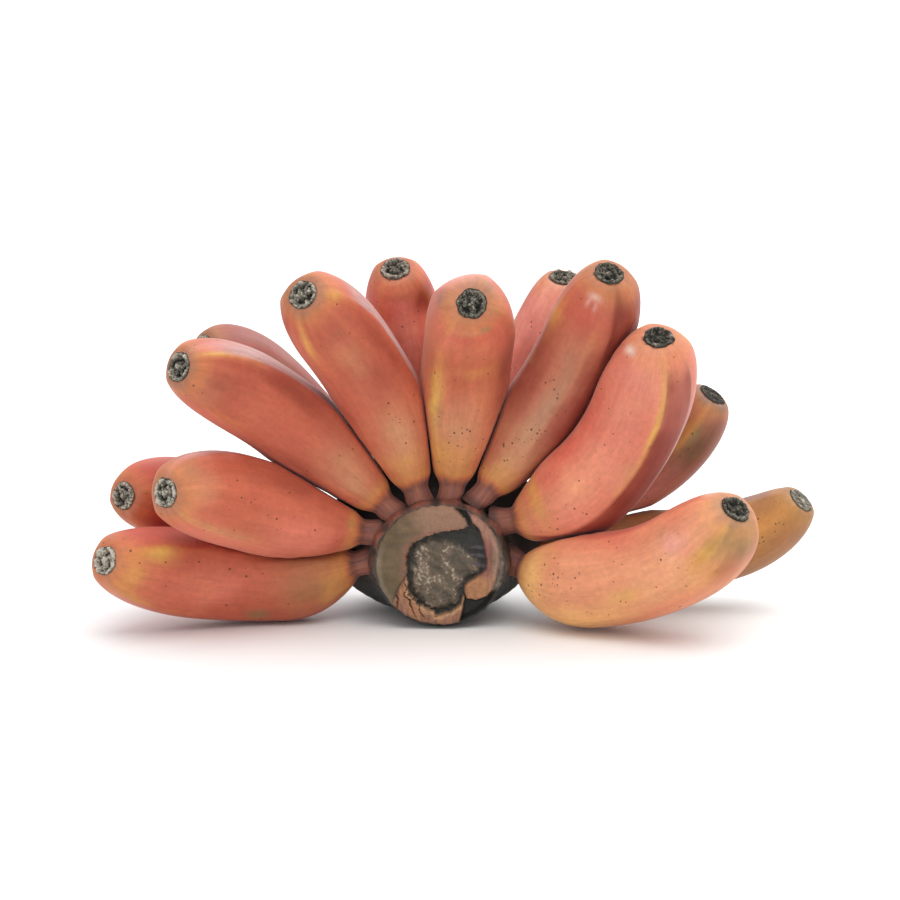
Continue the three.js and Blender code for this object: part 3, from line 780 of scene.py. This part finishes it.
def stalk_piece():
    """The cut piece of stalk with the crown round it, from its far end to its cut face."""
    sides, depths, steps, far_steps = 300, 120, 120, 46
    table = np.array(STALK_RINGS, float)
    turn = np.arange(sides) * 2 * math.pi / sides
    y = np.linspace(STALK_BACK, STALK_FRONT + 1.5, depths)

    def eased(column):
        """One column of the rings' table along the stalk, with its corners rounded off."""
        near = [np.interp(y + s, table[:, 0], table[:, column]) for s in np.linspace(-2, 2, 5)]
        return np.mean(near, axis=0)[:, None]

    left, right, top, bottom = (eased(column) for column in (1, 2, 3, 4))
    across, up = np.cos(turn)[None], np.sin(turn)[None]
    crown = np.exp(-(((y[:, None] - WEB_AT) / WEB_DEPTH) ** 2))
    web = WEB_HEIGHT * crown * smooth(-0.3, 0.2, up)
    web = web + WEB_CORNER_HEIGHT * crown * np.exp(-(((turn - WEB_CORNER_TURN) / 0.15) ** 2))
    web = web + 5 * np.exp(-(((up + 0.60) / 0.32) ** 2)) * smooth(-4, 14, y)[:, None]
    x = np.where(across > 0, right + web, left + web) * across
    z = np.where(up > 0, top + web, bottom) * up
    body = np.stack([x, np.broadcast_to(y[:, None], x.shape), AXIS_HEIGHT + z], -1)
    away = body - (0, 0, AXIS_HEIGHT)
    away[..., 1] = 0
    away = away / np.linalg.norm(away, axis=-1, keepdims=True)
    rough, grain = fractal(body, 9, 3, 21), fractal(body * (1, 0.3, 1), 2.5, 3, 22)
    swell = 0.5 * rough + 0.35 * grain
    stems = np.zeros(x.shape)
    for spec in FINGERS:
        root = np.array(spec["root"], float)
        rim_height = AXIS_HEIGHT + (root[2] - AXIS_HEIGHT) * 1.02
        rim = np.array([root[0] * 0.95, min(root[1], STALK_FRONT + 5), rim_height])
        if "back" in spec["name"]:
            rim = root
        share = np.clip((body - root) @ (rim - root) / max((rim - root) @ (rim - root), 1), 0, 1)
        gap = np.linalg.norm(body - root - share[..., None] * (rim - root), axis=-1)
        stems = np.maximum(stems, np.exp(-((gap / 6.2) ** 2)))
    swell = swell + 2.0 * stems
    body = body + away * swell[..., None]

    front = body[-1]
    shares = np.concatenate([[1.0], 1 - 0.975 * (np.arange(1, steps) / (steps - 1))])
    face_x = front[None, :, 0] * shares[:, None]
    face_z = (front[None, :, 2] - AXIS_HEIGHT) * shares[:, None]
    relief, face_colour = cut_face(face_x, face_z)
    relief = relief * smooth(1.0, 0.97, shares)[:, None] - 1.5 * smooth(0.96, 1.0, shares)[:, None]
    face = np.stack([face_x, STALK_FRONT - relief, AXIS_HEIGHT + face_z], -1)

    # The far end, torn off long ago and dried.
    inwards = np.linspace(0.03, 1, far_steps)[:-1, None]
    far_x = body[0, None, :, 0] * inwards
    far_z = (body[0, None, :, 2] - AXIS_HEIGHT) * inwards
    spots = np.stack([far_x, far_z, 0 * far_x], -1)
    lumps, fibres = fractal(spots, 9, 3, 41), fractal(spots, 2.0, 3, 42)
    dip = np.maximum(1.6 + 2.6 * lumps + 1.1 * fibres, 0.1) * smooth(1.0, 0.9, inwards)
    dip = dip + 0.8 * smooth(0.9, 1.0, inwards)
    far = np.stack([far_x, STALK_BACK - dip, AXIS_HEIGHT + far_z], -1)
    far_colour = mix((0.050, 0.040, 0.032), (0.150, 0.105, 0.070), 0.45 + 0.9 * lumps + 0.7 * fibres)
    far_colour = mix(far_colour, (0.030, 0.025, 0.021), smooth(0.86, 1.0, inwards + 0.05 * lumps) * 0.8)
    points = np.concatenate([far, body, face[1:]])
    points[..., 2] = np.maximum(points[..., 2], 0.05)

    side_colour = mix((0.10, 0.075, 0.058), (0.045, 0.032, 0.026), 0.5 + rough)
    depth, rise = body[..., 1], away[..., 2]
    # Painted shade, with some of the crown's own black staining: darker and greener on the underside, and
    # nearly black on top of the crown behind the front stems.
    side_colour = mix(side_colour, (0.035, 0.040, 0.036), smooth(0.0, -0.5, rise))
    side_colour = mix(side_colour, (0.022, 0.017, 0.014), smooth(-2, 8, depth) * smooth(-0.2, 0.3, rise))
    near_stems = smooth(0.35, 0.85, stems + 0.15 * grain) * smooth(16, 4, depth) * smooth(-0.3, 0.5, rise)
    side_colour = mix(side_colour, np.array(STEM) * (0.62, 0.6, 0.62), near_stems)
    side_colour = side_colour * (1 + 0.35 * grain)[..., None]
    bake = np.concatenate([
        np.linspace(0, 0.12, far_steps)[:-1],
        np.linspace(0.12, 0.42, depths),
        np.linspace(0.42, 1, steps)[1:],
    ])
    colours = np.concatenate([far_colour, side_colour, face_colour[1:]])
    return build("stalk_body", points, colours, {}, bake)


# --------------------------------------------------------------------------------------------------
# Materials


class Nodes:
    """Adds nodes to a material in few words."""

    def __init__(self, name):
        self.material = bpy.data.materials.new(name)
        self.material.use_nodes = True
        self.tree = self.material.node_tree
        self.shader = self.tree.nodes["Principled BSDF"]

    def new(self, kind, **settings):
        """A node with these settings. A name that starts with in_ sets an input."""
        node = self.tree.nodes.new(kind)
        for key, value in settings.items():
            if key.startswith("in_"):
                node.inputs[key[3:].replace("_", " ")].default_value = value
            else:
                setattr(node, key, value)
        return node

    def attribute(self, name):
        return self.new("ShaderNodeAttribute", attribute_name=name)

    def noise(self, vector, scale, detail=3.0, roughness=0.5):
        node = self.new("ShaderNodeTexNoise", in_Scale=scale, in_Detail=detail, in_Roughness=roughness)
        self.tree.links.new(vector, node.inputs["Vector"])
        return node.outputs["Fac"]

    def math(self, operation, a, b=0.5, clamp=False):
        node = self.new("ShaderNodeMath", operation=operation, use_clamp=clamp)
        for socket, value in zip(node.inputs, (a, b)):
            if isinstance(value, bpy.types.NodeSocket):
                self.tree.links.new(value, socket)
            else:
                socket.default_value = value
        return node.outputs[0]

    def ramp(self, value, low, high, to_low=0.0, to_high=1.0):
        node = self.new("ShaderNodeMapRange", interpolation_type="SMOOTHSTEP")
        self.tree.links.new(value, node.inputs["Value"])
        for key, number in (("From Min", low), ("From Max", high), ("To Min", to_low), ("To Max", to_high)):
            node.inputs[key].default_value = number
        return node.outputs["Result"]

    def mix(self, share, a, b, blend="MIX"):
        node = self.new("ShaderNodeMix", data_type="RGBA", blend_type=blend)
        for key, value in ((0, share), (6, a), (7, b)):
            if isinstance(value, bpy.types.NodeSocket):
                self.tree.links.new(value, node.inputs[key])
            elif key:
                node.inputs[key].default_value = (*value, 1.0)
            else:
                node.inputs[key].default_value = value
        return node.outputs[2]

    def link(self, value, name):
        self.tree.links.new(value, self.shader.inputs[name])


def skin_material():
    """Peel, stem and dried end in one, driven by what each finger's mesh carries."""
    n = Nodes("banana_peel")
    tint = n.attribute("tint").outputs["Color"]
    grain = n.attribute("grain").outputs["Vector"]
    dry = n.attribute("dry").outputs["Fac"]
    crest = n.attribute("crest").outputs["Fac"]
    stem = n.attribute("stem").outputs["Fac"]
    place = n.new("ShaderNodeTexCoord").outputs["Object"]
    squash = n.new("ShaderNodeMapping", vector_type="POINT")
    n.tree.links.new(grain, squash.inputs["Vector"])
    squash.inputs["Scale"].default_value = (1, 1, 0.12)
    streaks = n.noise(squash.outputs["Vector"], 700, 4, 0.6)
    mottle = n.noise(place, 380, 4, 0.6)
    cloud = n.noise(place, 110, 3, 0.55)
    pores = n.noise(place, 1300, 2, 0.5)
    # Painted sheen carried by the mesh; the streaks show more there and on the stems.
    painted_sheen = n.attribute("painted_sheen").outputs["Fac"]
    streaky = n.math("ADD", n.math("MULTIPLY", stem, 0.25), n.math("MULTIPLY", painted_sheen, 0.30))
    streak_depth = n.math("ADD", 0.07, streaky)
    streak_swing = n.math("MULTIPLY", n.math("SUBTRACT", streaks, 0.5), n.math("MULTIPLY", streak_depth, 4.0))
    streak_shade = n.math("ADD", 1.0, streak_swing)
    colour = n.mix(1.0, tint, streak_shade, "MULTIPLY")
    colour = n.mix(1.0, colour, n.ramp(mottle, 0.3, 0.7, 0.94, 1.06), "MULTIPLY")
    bands = n.noise(squash.outputs["Vector"], 160, 3, 0.55)
    colour = n.mix(1.0, colour, n.ramp(bands, 0.35, 0.65, 0.95, 1.05), "MULTIPLY")
    yellower = n.mix(1.0, colour, (1.06, 1.25, 1.05), "MULTIPLY")
    colour = n.mix(n.ramp(cloud, 0.45, 0.75, 0.0, 0.35), colour, yellower)
    darker = n.mix(1.0, colour, (0.75, 0.62, 0.60), "MULTIPLY")
    colour = n.mix(n.ramp(pores, 0.60, 0.75, 0.0, 0.22), colour, darker)

    # Small dark specks in loose groups.
    cells = n.new("ShaderNodeTexVoronoi", feature="F1", in_Scale=520.0)
    n.tree.links.new(place, cells.inputs["Vector"])
    chance = n.new("ShaderNodeSeparateColor")
    n.tree.links.new(cells.outputs["Color"], chance.inputs["Color"])
    reach_of_dot = n.math("MULTIPLY", n.math("ADD", chance.outputs["Green"], 0.45), 0.23)
    dot = n.ramp(n.math("DIVIDE", cells.outputs["Distance"], reach_of_dot), 0.75, 1.15, 1.0, 0.0)
    limit = n.math("SUBTRACT", 0.985, n.math("MULTIPLY", n.attribute("specks").outputs["Fac"], 0.55))
    chosen = n.math("GREATER_THAN", chance.outputs["Red"], limit)
    groups = n.ramp(n.noise(place, 75, 2), 0.43, 0.52)
    specks = n.math("MULTIPLY", n.math("MULTIPLY", dot, chosen), groups)
    colour = n.mix(n.math("MULTIPLY", specks, 0.85), colour, (0.085, 0.035, 0.018))

    # Dried flower remains: nearly black in the holes and pale on what stands up, partly the tissue's own
    # colour and partly painted shade and light.
    fibre = n.noise(place, 1500, 5, 0.7)
    lift = n.math("ADD", crest, n.math("MULTIPLY", n.math("SUBTRACT", fibre, 0.5), 1.4))
    dried = n.mix(n.ramp(lift, -0.2, 0.55), (0.030, 0.028, 0.022), (0.13, 0.115, 0.090))
    dried = n.mix(n.ramp(lift, 0.45, 1.7), dried, (0.52, 0.46, 0.38))
    colour = n.mix(dry, colour, dried)
    n.link(colour, "Base Color")

    rough = n.math("ADD", n.ramp(mottle, 0.3, 0.7, 0.52, 0.62), n.math("MULTIPLY", dry, 0.45), True)
    n.link(rough, "Roughness")
    fibre_height = n.math("ADD", n.math("MULTIPLY", dry, 1.5), 0.06)
    bumps = n.math("ADD", n.math("MULTIPLY", mottle, 0.45), n.math("MULTIPLY", fibre, fibre_height))
    bumps = n.math("ADD", bumps, n.math("MULTIPLY", streaks, n.math("MULTIPLY", stem, 0.9)))
    bump = n.new("ShaderNodeBump", in_Strength=0.35, in_Distance=0.0004)
    n.tree.links.new(bumps, bump.inputs["Height"])
    n.link(bump.outputs["Normal"], "Normal")
    n.shader.inputs["Specular IOR Level"].default_value = 0.30
    n.shader.inputs["Sheen Weight"].default_value = 0.13
    n.shader.inputs["Sheen Roughness"].default_value = 0.35
    n.shader.inputs["Sheen Tint"].default_value = (1.0, 0.92, 0.96, 1)
    return n.material


def stalk_material():
    """Dull fibre over the colours that the stalk's mesh carries."""
    n = Nodes("cut_stalk")
    tint = n.attribute("tint").outputs["Color"]
    place = n.new("ShaderNodeTexCoord").outputs["Object"]
    fibre = n.noise(place, 700, 5, 0.65)
    fine = n.noise(place, 2200, 3, 0.6)
    colour = n.mix(1.0, tint, n.ramp(fibre, 0.3, 0.7, 0.86, 1.14), "MULTIPLY")
    colour = n.mix(1.0, colour, n.ramp(fine, 0.3, 0.7, 0.88, 1.12), "MULTIPLY")
    n.link(colour, "Base Color")
    n.link(n.ramp(fibre, 0.3, 0.7, 0.62, 0.85), "Roughness")
    bump = n.new("ShaderNodeBump", in_Strength=0.4, in_Distance=0.0004)
    n.tree.links.new(n.math("ADD", fibre, n.math("MULTIPLY", fine, 0.5)), bump.inputs["Height"])
    n.link(bump.outputs["Normal"], "Normal")
    return n.material


def plain_material(name, colour, roughness):
    n = Nodes(name)
    n.shader.inputs["Base Color"].default_value = (*colour, 1)
    n.shader.inputs["Roughness"].default_value = roughness
    return n.material


peel = skin_material()
cores = [core_of(spec) for spec in FINGERS]
for index, spec in enumerate(FINGERS):
    piece = finger_piece(index, spec, [c for k, c in enumerate(cores) if k != index])
    piece.data.materials.append(peel)
    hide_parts(spec["name"])
    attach(piece, "root")

stalk = stalk_piece()
stalk.data.materials.append(stalk_material())
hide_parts("stalk")
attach(stalk, "root")

# --------------------------------------------------------------------------------------------------
# Floor, light and camera


def area_light(name, place, aim, size, power):
    light = bpy.data.lights.new(name, "AREA")
    light.shape = "RECTANGLE"
    light.size, light.size_y = size
    light.energy = power
    lamp = bpy.data.objects.new(name, light)
    lamp.location = place
    lamp.rotation_euler = (Vector(aim) - Vector(place)).to_track_quat("-Z", "Y").to_euler()
    bpy.context.scene.collection.objects.link(lamp)


floor_mesh = bpy.data.meshes.new("floor")
half = 15.0
corners = [(-half, -half, 0), (half, -half, 0), (half, half, 0), (-half, half, 0)]
floor_mesh.from_pydata(corners, [], [(0, 1, 2, 3)])
floor = bpy.data.objects.new("floor", floor_mesh)
floor.data.materials.append(plain_material("pale_floor", (0.86, 0.875, 0.88), 0.7))
bpy.context.scene.collection.objects.link(floor)

world = bpy.data.worlds.new("studio")
world.use_nodes = True
world.node_tree.nodes["Background"].inputs["Color"].default_value = (0.945, 0.98, 1.0, 1)
world.node_tree.nodes["Background"].inputs["Strength"].default_value = 0.74
bpy.context.scene.world = world
middle = Vector(placed((0, 0, 80)))
overhead = bpy.data.lights.new("overhead", "SUN")
overhead.energy = 1.8
overhead.color = (1.0, 0.98, 0.945)
overhead.angle = math.radians(60)
lamp = bpy.data.objects.new("overhead", overhead)
lamp.rotation_euler = (math.radians(12), math.radians(6), 0)
bpy.context.scene.collection.objects.link(lamp)
area_light("front", middle + Vector((-0.5, -1.3, 0.7)), middle, (1.8, 1.8), 2.5)
area_light("back", middle + Vector((0.5, 0.9, 0.9)), middle, (2.6, 1.4), 15)

camera = bpy.data.objects.new("camera", bpy.data.cameras.new("camera"))
bpy.context.scene.collection.objects.link(camera)
bpy.context.scene.camera = camera
ELEVATION, DISTANCE = math.radians(10), 1.5
CAMERA_AIM = (4.75, 0, 82.3)
aim = Vector(placed(CAMERA_AIM))
camera.location = aim + Vector((0, -math.cos(ELEVATION), math.sin(ELEVATION))) * DISTANCE
camera.rotation_euler = (math.pi / 2 - ELEVATION, 0, 0)
camera.data.sensor_width = 36
camera.data.lens = 126.3
bpy.context.scene.view_settings.view_transform = "Standard"
